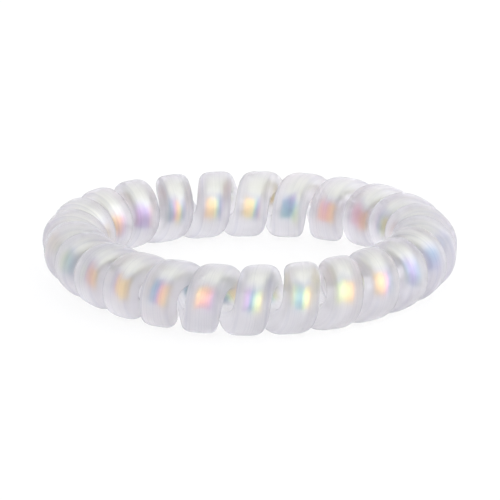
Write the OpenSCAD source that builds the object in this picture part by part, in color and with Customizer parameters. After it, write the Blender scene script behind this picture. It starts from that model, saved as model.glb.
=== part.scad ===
// Spiral hair tie: a flattened see-through plastic cord wound in a helix whose axis
// is a ring and joined end to end, with a thin film strip in a channel inside the cord.
// Millimetres. The ring lies flat with z up, and its turns rest on z = 0.

/* [Ring] */
// Outer diameter of the whole ring as it lies flat
ring_d = 55; // [50:1:60]
// Turns of the cord round the ring
turns = 25; // [22:1:27]
// Sideways lean of the ring: shift to the left as a share of the height
ring_lean = 0.07; // [0:0.01:0.12]

/* [Coil] */
// Outside diameter of the coil that the cord is wound into
coil_d = 9; // [8.6:0.1:9.8]
// Free space between neighbouring turns on the ring's inner side
turn_gap = 0.35; // [0.3:0.05:0.7]
// How much steeper the turns stand on the ring's outer and inner sides than on top, a share
upright_share = 0.3; // [0:0.05:0.4]
// How much more of each turn's sideways step falls underneath than on top, a share
below_share = 0.25; // [0:0.05:0.35]

/* [Cord] */
// Thickness of the cord, from the coil's inside to its outside
cord_t = 3.4; // [3.2:0.1:3.6]
// Squareness of the cord's section: 2 is an ellipse, more is boxier
cord_square = 3.2; // [2.4:0.1:4]
// Plastic between the film channel and the cord's two side faces
side_wall = 0.9; // [0.7:0.05:1]

/* [Film] */
// Thickness of the film strip
film_t = 0.2; // [0.15:0.05:0.3]
// Free space all round the film strip in its channel
film_gap = 0.15; // [0.1:0.05:0.2]

/* [Build] */
// Stations along the cord in one turn
stations = 12; // [8:4:12]
// Sides of the cord's section
sides = 12; // [8:4:12]
// Which piece to show

/* [Hidden] */

// Columns of the two tables below
WAVES = 0;
COS_SHARE = 1;
SIN_SHARE = 2;

// Soft ring out of round: waves round the ring, shares of the ring's radius
plan_waves = [
    [2, -0.003, 0],
    [3, 0, 0.032]
];

// Uneven spacing of the turns: waves round the ring, shares of the mean spacing
spacing_waves = [
    [1, 0, 0.04]
];

coil_r = coil_d / 2;
// Radius of the ring's centre line, and of the helix that the cord's middle follows
ring_r = ring_d / 2 - coil_r;
helix_r = coil_r - cord_t / 2;

// Spacing of the turns along the ring's inner side, its lean, and the cord it leaves room for
inner_pitch = 2 * PI * (ring_r - helix_r) / turns;
inner_lean = atan(inner_pitch / (2 * PI * helix_r));
cord_w = inner_pitch * cos(inner_lean) - turn_gap;

channel_w = cord_w - 2 * side_wall;
channel_t = film_t + 2 * film_gap;
film_w = channel_w - 2 * film_gap;

rings = turns * stations;
deg = 180 / PI;

// Shift that puts the middle of the out-of-round ring at the origin
plan_shift = ring_r * waves(plan_waves, 90) / 2 - ring_r * waves(plan_waves, 270) / 2;

// Sum of a table's waves at angle a round the ring, and of their running totals
function waves(table, a) =
    [for (row = table) row[COS_SHARE] * cos(row[WAVES] * a)
        + row[SIN_SHARE] * sin(row[WAVES] * a)] * [for (row = table) 1];
function wave_totals(table, a) =
    [for (row = table) (row[COS_SHARE] * sin(row[WAVES] * a)
        - row[SIN_SHARE] * cos(row[WAVES] * a)) / row[WAVES]] * [for (row = table) 1];

// The cord's middle line, at share s of the way round in degrees. Its angle within the
// turn is 0 at the ring's outer side and 90 on top.
function turn_angle(s) = turns * s + 90;
function ring_angle(s) =
    s - deg * wave_totals(plan_waves, s) + deg * wave_totals(spacing_waves, s)
    + deg / turns * (below_share * cos(turn_angle(s)) - upright_share / 2 * sin(2 * turn_angle(s)));
function outward(s) = [cos(ring_angle(s)), sin(ring_angle(s)), 0];
function plan_r(s) = ring_r * (1 + waves(plan_waves, ring_angle(s)));
function coil_out(s) = cos(turn_angle(s)) * outward(s) + [0, 0, sin(turn_angle(s))];
function middle(s) = plan_r(s) * outward(s) + helix_r * coil_out(s) + [0, 0, coil_r];

// Directions of the section: along the cord, out of the coil, and across the cord's width
function unit(v) = v / norm(v);
function along(s) = unit(middle(s + 0.05) - middle(s - 0.05));
function square_to(v, t) = unit(v - (v * t) * t);
function leaned(p) = [p[0] - ring_lean * (p[2] - coil_r), p[1] - plan_shift, p[2]];

// Section outlines as [out of the coil, across], around the cord's middle. The cord's
// has a flat on each of its four faces, at its full thickness and its full width.
function bulge(c) = sign(c) * pow(abs(c), 2 / cord_square);
function cord_section() =
    let (full = bulge(cos(180 / sides)))
    [for (i = [0 : sides - 1]) let (a = 360 * (i + 0.5) / sides)
        [cord_t / 2 * bulge(cos(a)) / full, cord_w / 2 * bulge(sin(a)) / full]];
function strip_section(t, w) = [[t / 2, -w / 2], [t / 2, w / 2], [-t / 2, w / 2], [-t / 2, -w / 2]];

// One closed loop that follows the cord's middle line with the given section. Its outer and
// inner faces are split along the same diagonals, so a thin strip keeps an even thickness.
module closed_loop(section) {
    n = len(section);
    points = [for (i = [0 : rings - 1])
        let (s = 360 * i / rings, m = middle(s), t = along(s))
        let (out = square_to(coil_out(s), t))
        let (across = cross(t, out))
        for (q = section) leaned(m + q[0] * out + q[1] * across)];
    triangles = [for (i = [0 : rings - 1])
        let (a = i * n, b = ((i + 1) % rings) * n)
        for (j = [0 : n - 1])
            let (k = (j + 1) % n)
            for (f = section[k][1] > section[j][1]
                ? [[a + j, b + k, a + k], [a + j, b + j, b + k]]
                : [[a + j, b + j, a + k], [a + k, b + j, b + k]]) f];
    polyhedron(points = points, faces = triangles);
}

module cord() {
    color([0.87, 0.87, 0.9])
        difference() {
            closed_loop(cord_section());
            closed_loop(strip_section(channel_t, channel_w));
        }
}

module film() {
    color([0.95, 0.8, 0.75])
        closed_loop(strip_section(film_t, film_w));
}

cord();
film();
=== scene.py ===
"""Spiral hair tie: a frosted see-through cord wound round a ring, with an iridescent strip
inside it. Metres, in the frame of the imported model."""

import math

import bpy
import numpy as np
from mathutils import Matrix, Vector


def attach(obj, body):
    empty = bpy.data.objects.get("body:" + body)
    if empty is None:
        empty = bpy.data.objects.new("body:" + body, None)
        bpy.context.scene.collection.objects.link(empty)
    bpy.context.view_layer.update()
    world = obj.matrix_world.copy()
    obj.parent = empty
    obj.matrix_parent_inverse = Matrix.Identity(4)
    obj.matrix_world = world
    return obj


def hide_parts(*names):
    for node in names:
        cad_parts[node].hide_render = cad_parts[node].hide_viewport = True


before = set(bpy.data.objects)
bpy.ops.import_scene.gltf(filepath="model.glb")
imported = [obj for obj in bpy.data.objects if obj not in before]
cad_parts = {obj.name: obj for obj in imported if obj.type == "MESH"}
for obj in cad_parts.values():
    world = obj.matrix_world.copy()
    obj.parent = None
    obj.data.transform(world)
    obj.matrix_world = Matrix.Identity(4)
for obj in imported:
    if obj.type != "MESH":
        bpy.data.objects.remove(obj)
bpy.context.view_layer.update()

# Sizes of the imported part, in millimetres
MM = 0.001
RING_D = 55.0
TURNS = 25
RING_LEAN = 0.07
COIL_D = 9.0
TURN_GAP = 0.35
UPRIGHT_SHARE = 0.3
BELOW_SHARE = 0.25
CORD_T = 3.4
CORD_SQUARE = 3.2
SIDE_WALL = 0.9
FILM_T = 0.2
FILM_GAP = 0.15
PLAN_WAVES = ((2, -0.003, 0.0), (3, 0.0, 0.032))
SPACING_WAVES = ((1, 0.0, 0.04),)

COIL_R = COIL_D / 2
RING_R = RING_D / 2 - COIL_R
HELIX_R = COIL_R - CORD_T / 2
INNER_PITCH = 2 * math.pi * (RING_R - HELIX_R) / TURNS
CORD_W = INNER_PITCH * math.cos(math.atan(INNER_PITCH / (2 * math.pi * HELIX_R))) - TURN_GAP
FILM_W = CORD_W - 2 * SIDE_WALL - 2 * FILM_GAP

# Fineness of the meshes: stations in one turn, points round the cord, points across the film
CORD_STATIONS = 64
CORD_POINTS = 44
FILM_STATIONS = 48
FILM_POINTS = 9

# Studio: half the floor's width in metres, and the power of the two softboxes in watts
FLOOR_HALF = 3.0
RIGHT_POWER = 3.8
FRONT_POWER = 3.4

# Colours of the materials' ramps
BLACK = (0, 0, 0)
WHITE = (1, 1, 1)

# Camera of the photograph: its height over the ring's plane in degrees, its distance, and the
# width it shows at that distance, both in metres
VIEW_UP_DEG = 16.0
VIEW_DISTANCE = 0.535
VIEW_WIDTH = 0.066
SENSOR = 36.0


def waves(table, a):
    return sum(c * np.cos(k * a) + s * np.sin(k * a) for k, c, s in table)


def wave_totals(table, a):
    return sum((c * np.sin(k * a) - s * np.cos(k * a)) / k for k, c, s in table)


PLAN_SHIFT = RING_R * (waves(PLAN_WAVES, math.pi / 2) - waves(PLAN_WAVES, -math.pi / 2)) / 2


def coil_frame(s):
    """Middle of the cord, the two directions of its section (out of the coil, and across the
    cord) and the angle within the turn, at angles s of the way round."""
    def middle(s):
        turn = TURNS * s + math.pi / 2
        ring = (s - wave_totals(PLAN_WAVES, s) + wave_totals(SPACING_WAVES, s)
                + (BELOW_SHARE * np.cos(turn) - UPRIGHT_SHARE / 2 * np.sin(2 * turn)) / TURNS)
        outward = np.stack([np.cos(ring), np.sin(ring), 0 * ring], 1)
        coil_out = np.cos(turn)[:, None] * outward
        coil_out[:, 2] += np.sin(turn)
        plan = RING_R * (1 + waves(PLAN_WAVES, ring))
        p = plan[:, None] * outward + HELIX_R * coil_out
        p[:, 2] += COIL_R
        return p, coil_out, turn

    p, coil_out, turn = middle(s)
    step = 1e-3
    along = middle(s + step)[0] - middle(s - step)[0]
    along /= np.linalg.norm(along, axis=1)[:, None]
    out = coil_out - (coil_out * along).sum(1)[:, None] * along
    out /= np.linalg.norm(out, axis=1)[:, None]
    return p, out, np.cross(along, out), turn


def loop_points(section, s):
    """Points of a closed loop: section rows are (out of the coil, across the cord)."""
    p, out, across, turn = coil_frame(s)
    pts = (p[:, None, :] + section[None, :, :1] * out[:, None, :]
           + section[None, :, 1:] * across[:, None, :])
    pts[:, :, 0] -= RING_LEAN * (pts[:, :, 2] - COIL_R)
    pts[:, :, 1] -= PLAN_SHIFT
    return pts * MM, turn


def loop_mesh(name, pts, turn, across):
    """Closed tube through the section points, with its place in the coil as attributes:
    turn_cos is 1 on the ring's outer side, turn_sin is 1 on top, ring_x and ring_y lie on a
    circle on which a turn of the cord is one unit long, and across is -1 to 1."""
    rings, n = pts.shape[:2]
    i = np.arange(rings)[:, None]
    j = np.arange(n)[None, :]
    a = i * n
    b = ((i + 1) % rings) * n
    k = (j + 1) % n
    quads = np.stack([a + j, a + k, b + k, b + j], 2).reshape(-1, 4)
    mesh = bpy.data.meshes.new(name)
    mesh.from_pydata(pts.reshape(-1, 3).tolist(), [], quads.tolist())
    mesh.update()
    mesh.shade_smooth()
    ring = turn / TURNS
    loop = TURNS / (2 * math.pi)
    for key, value in (("turn_cos", np.cos(turn)), ("turn_sin", np.sin(turn)),
                       ("ring_x", loop * np.cos(ring)), ("ring_y", loop * np.sin(ring))):
        layer = mesh.attributes.new(key, "FLOAT", "POINT")
        layer.data.foreach_set("value", np.repeat(value, n).astype(np.float32))
    layer = mesh.attributes.new("across", "FLOAT", "POINT")
    layer.data.foreach_set("value", np.tile(across, rings).astype(np.float32))
    obj = bpy.data.objects.new(name, mesh)
    bpy.context.scene.collection.objects.link(obj)
    return obj


def cord_outline(n):
    """Boxy oval section, with its points spread evenly along it."""
    a = np.linspace(0, 2 * math.pi, 720, endpoint=False)
    c, s = np.cos(a), np.sin(a)
    x = CORD_T / 2 * np.sign(c) * np.abs(c) ** (2 / CORD_SQUARE)
    y = CORD_W / 2 * np.sign(s) * np.abs(s) ** (2 / CORD_SQUARE)
    d = np.hypot(np.diff(x, append=x[0]), np.diff(y, append=y[0]))
    run = np.concatenate([[0], np.cumsum(d)])
    at = np.linspace(0, run[-1], n, endpoint=False)
    return np.stack([np.interp(at, run, np.append(x, x[0])),
                     np.interp(at, run, np.append(y, y[0]))], 1)


def build_cord():
    s = np.linspace(0, 2 * math.pi, TURNS * CORD_STATIONS, endpoint=False)
    section = cord_outline(CORD_POINTS)
    pts, turn = loop_points(section, s)
    return loop_mesh("cord_skin", pts, turn, section[:, 1] / (CORD_W / 2))


def build_film():
    s = np.linspace(0, 2 * math.pi, TURNS * FILM_STATIONS, endpoint=False)
    y = np.linspace(-1, 1, FILM_POINTS)
    top = np.stack([np.full(FILM_POINTS, FILM_T / 2), y * FILM_W / 2], 1)
    section = np.concatenate([top, top[::-1] * [-1, 1]])
    pts, turn = loop_points(section, s)
    return loop_mesh("film_strip", pts, turn, np.concatenate([y, y[::-1]]))


class Nodes:
    """Short spelling for building a material's node tree."""

    def __init__(self, name):
        self.mat = bpy.data.materials.new(name)
        self.mat.use_nodes = True
        self.tree = self.mat.node_tree
        self.shader = self.tree.nodes["Principled BSDF"]
        self.output = self.tree.nodes["Material Output"]

    def add(self, kind, links=(), **values):
        node = self.tree.nodes.new("ShaderNode" + kind)
        for key, value in values.items():
            setattr(node, key, value)
        for socket, source in dict(links).items():
            self.put(node.inputs[socket], source)
        return node

    def put(self, socket, source):
        if isinstance(source, bpy.types.NodeSocket):
            self.tree.links.new(source, socket)
        else:
            socket.default_value = source

    def attr(self, name):
        return self.add("Attribute", attribute_name=name).outputs["Fac"]

    def math(self, op, a, b=0.0, c=0.0):
        return self.add("Math", {0: a, 1: b, 2: c}, operation=op).outputs[0]

    def ramp(self, fac, stops, mode="EASE"):
        node = self.add("ValToRGB", {"Fac": fac})
        ramp = node.color_ramp
        ramp.interpolation = mode
        while len(ramp.elements) < len(stops):
            ramp.elements.new(0.5)
        for e, (place, colour) in zip(ramp.elements, stops):
            e.position = place
            e.color = tuple(colour) + (1.0,)
        return node.outputs["Color"]

    def mix(self, fac, a, b, blend="MIX"):
        node = self.add("Mix", data_type="RGBA", blend_type=blend)
        self.put(node.inputs[0], fac)
        self.put(node.inputs[6], a)
        self.put(node.inputs[7], b)
        return node.outputs[2]


def cord_place(m, along, across, start=(0, 0, 0)):
    """Coordinates that follow the cord: so many units a turn, and from its middle to its side."""
    place = m.add("CombineXYZ", {"X": m.attr("ring_x"), "Y": m.attr("ring_y"),
                                 "Z": m.attr("across")}).outputs[0]
    return m.add("VectorMath", {0: place, 1: (along, along, across), 2: start},
                 operation="MULTIPLY_ADD").outputs[0]


def even(value):
    """Grey of one level, for a ramp that gives a number."""
    return (value, value, value)


def frosted_plastic():
    """Milky plastic with a soft matt skin: slight cloudiness, fine lines along the cord, and a
    faint bluish painted reflection line near each of its side edges."""
    line = (0.85, 0.85, 0.885)
    between = (0.98, 0.975, 0.99)
    clear = (1.0, 0.995, 1.0)
    side_reflection_line = (0.91, 0.915, 0.94)
    m = Nodes("frosted_plastic")
    sh = m.shader
    place = m.add("TexCoord").outputs["Object"]
    cloud = m.add("TexNoise", {"Vector": place, "Scale": 260.0, "Detail": 2.0}).outputs["Fac"]
    drawn = m.add("TexNoise", {"Vector": cord_place(m, 0.5, 10.0), "Scale": 1.0,
                               "Detail": 3.0, "Roughness": 0.7}).outputs["Fac"]
    lines = m.ramp(drawn, [(0.34, line), (0.48, between), (0.68, clear)], "LINEAR")
    # Painted reflection: a faint bluish line near each side edge of the cord
    side = m.ramp(m.math("ABSOLUTE", m.attr("across")), [
        (0.66, WHITE), (0.78, side_reflection_line), (0.84, side_reflection_line), (0.93, WHITE)])
    m.put(sh.inputs["Base Color"], m.mix(1.0, lines, side, "MULTIPLY"))
    m.put(sh.inputs["Roughness"], m.math("MULTIPLY_ADD", cloud, 0.16, 0.50))
    sh.inputs["IOR"].default_value = 1.38
    sh.inputs["Sheen Weight"].default_value = 0.4
    sh.inputs["Sheen Roughness"].default_value = 0.3
    sh.inputs["Transmission Weight"].default_value = 0.93
    bump = m.add("Bump", {"Strength": 0.8, "Distance": 0.0001, "Height": drawn})
    m.put(sh.inputs["Normal"], bump.outputs[0])
    haze = m.add("VolumeAbsorption", {"Color": (0.50, 0.46, 0.56, 1), "Density": 34.0})
    m.tree.links.new(haze.outputs["Volume"], m.output.inputs["Volume"])
    return m.mat


def iridescent_film():
    """Mirror-like film. Its hue drifts from turn to turn and across the strip. Its colour and
    opacity by height on the turn are painted
    reflections of the lamps: a whitish painted highlight on the crest of each turn, the hue in a
    band at mid height where the front light's reflection is painted, dim bluish painted
    reflections between, and a faint, mostly clear film underneath. It also fades towards the
    strip's edges."""
    yellow = (1.0, 0.90, 0.50)
    orange = (1.0, 0.70, 0.40)
    coral = (1.0, 0.56, 0.48)
    violet = (0.66, 0.48, 0.80)
    blue = (0.30, 0.38, 0.56)
    teal = (0.32, 0.56, 0.64)
    green = (0.78, 0.96, 0.60)
    plain = (0.93, 0.93, 0.95)
    dim_reflection = (0.70, 0.73, 0.82)
    crest_highlight = (0.98, 1.0, 0.87)
    m = Nodes("iridescent_film")
    sh = m.shader
    drift = m.add("TexNoise", {"Vector": cord_place(m, 0.55, 0.32, (8.9, 9.3, -4.2)),
                               "Scale": 1.0, "Detail": 0.5}).outputs["Fac"]
    drawn = m.add("TexNoise", {"Vector": cord_place(m, 0.5, 5.0), "Scale": 1.0,
                               "Detail": 2.0}).outputs["Fac"]
    streak = m.math("MULTIPLY_ADD", drawn, 0.5, m.math("MULTIPLY", drift, 4.0))
    hue = m.ramp(m.math("FRACT", streak), [
        (0.00, yellow), (0.20, orange), (0.38, coral), (0.52, violet), (0.62, blue),
        (0.76, teal), (0.90, green), (1.00, yellow)], "LINEAR")

    # Height on the turn, 0 underneath to 1 on the crest, made uneven from streak to streak
    rise = m.math("MULTIPLY_ADD", m.attr("turn_cos"), -0.1, m.attr("turn_sin"))
    height = m.math("MULTIPLY_ADD", rise, 0.5, 0.5)
    height = m.math("MULTIPLY_ADD", m.math("SUBTRACT", drawn, 0.5), 0.5, height)
    # Painted reflections by height: a whitish painted highlight on the crest, dim bluish painted
    # reflections beside the mid band, and the hue only where the front light's reflection is
    # painted
    painted_reflection = m.ramp(height, [(0.28, plain), (0.36, dim_reflection), (0.84, dim_reflection), (0.89, crest_highlight)])
    front_reflection_mask = m.ramp(height, [(0.28, BLACK), (0.42, WHITE), (0.74, WHITE), (0.83, BLACK)])
    m.put(sh.inputs["Base Color"], m.mix(front_reflection_mask, painted_reflection, hue))
    sh.inputs["Metallic"].default_value = 1.0
    sh.inputs["Roughness"].default_value = 0.34
    # Painted reflection too: the film is opaque on the crest and in the mid band, where its
    # reflections are painted, and nearly clear underneath
    reflection_alpha = m.ramp(height, [(0.24, even(0.2)), (0.38, even(0.8)), (0.8, even(0.8)),
                            (0.88, WHITE)])
    edge = m.ramp(m.math("ABSOLUTE", m.attr("across")), [(0.6, WHITE), (1.0, even(0.1))])
    m.put(sh.inputs["Alpha"], m.math("MULTIPLY", reflection_alpha, edge))
    return m.mat


def floor_material():
    """Plain floor that glows a little, so that it comes out nearly white."""
    m = Nodes("studio_floor")
    m.shader.inputs["Base Color"].default_value = (0.16, 0.16, 0.16, 1)
    m.shader.inputs["Roughness"].default_value = 0.8
    m.shader.inputs["Emission Color"].default_value = (1.0, 1.0, 1.0, 1)
    m.shader.inputs["Emission Strength"].default_value = 0.81
    return m.mat


def put(piece, material, node):
    piece.data.materials.append(material)
    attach(piece, "root")
    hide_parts(node)


def aim(obj, target):
    obj.rotation_euler = (Vector(target) - obj.location).to_track_quat("-Z", "Y").to_euler()


def area_light(name, place, size, power):
    light = bpy.data.lights.new(name, "AREA")
    light.shape = "RECTANGLE"
    light.size, light.size_y = size
    light.energy = power
    obj = bpy.data.objects.new(name, light)
    obj.location = place
    bpy.context.scene.collection.objects.link(obj)
    aim(obj, (0, 0, 0))


def studio_sky():
    """Pale surround, brightest in front and on the right, darker behind and on the left."""
    m = bpy.data.worlds.new("studio")
    m.use_nodes = True
    tree = m.node_tree
    direction = tree.nodes.new("ShaderNodeTexCoord").outputs["Generated"]
    lean = tree.nodes.new("ShaderNodeVectorMath")
    lean.operation = "DOT_PRODUCT"
    lean.inputs[1].default_value = (0.75, -0.9, -0.15)
    tree.links.new(direction, lean.inputs[0])
    ramp = tree.nodes.new("ShaderNodeValToRGB")
    dark, bright = ramp.color_ramp.elements
    dark.position = 0.0
    dark.color = (0.66, 0.66, 0.69, 1)
    bright.position = 0.8
    bright.color = (1.0, 1.0, 1.0, 1)
    tree.links.new(lean.outputs["Value"], ramp.inputs["Fac"])
    background = tree.nodes["Background"]
    tree.links.new(ramp.outputs["Color"], background.inputs["Color"])
    background.inputs["Strength"].default_value = 1.38
    return m


def studio():
    scene = bpy.context.scene
    mesh = bpy.data.meshes.new("floor")
    r = FLOOR_HALF
    mesh.from_pydata([(-r, -r, 0), (r, -r, 0), (r, r, 0), (-r, r, 0)], [], [(0, 1, 2, 3)])
    mesh.materials.append(floor_material())
    floor = bpy.data.objects.new("floor", mesh)
    scene.collection.objects.link(floor)

    scene.world = studio_sky()
    area_light("softbox_right", (0.8, 0.2, 0.25), (1.3, 0.6), RIGHT_POWER)
    area_light("softbox_front", (0.0, -0.85, 0.2), (1.8, 0.7), FRONT_POWER)

    up = math.radians(VIEW_UP_DEG)
    camera = bpy.data.cameras.new("camera")
    camera.sensor_width = SENSOR
    camera.lens = SENSOR * VIEW_DISTANCE / VIEW_WIDTH
    camera.clip_start = 0.01
    view = bpy.data.objects.new("camera", camera)
    target = Vector((0, 0, COIL_R * MM))
    view.location = target + VIEW_DISTANCE * Vector((0, -math.cos(up), math.sin(up)))
    scene.collection.objects.link(view)
    aim(view, target)
    scene.camera = view

    scene.view_settings.view_transform = "Standard"
    scene.cycles.max_bounces = 24
    scene.cycles.transmission_bounces = 20
    scene.cycles.glossy_bounces = 6
    scene.cycles.diffuse_bounces = 4


put(build_cord(), frosted_plastic(), "cord")
put(build_film(), iridescent_film(), "film")
studio()
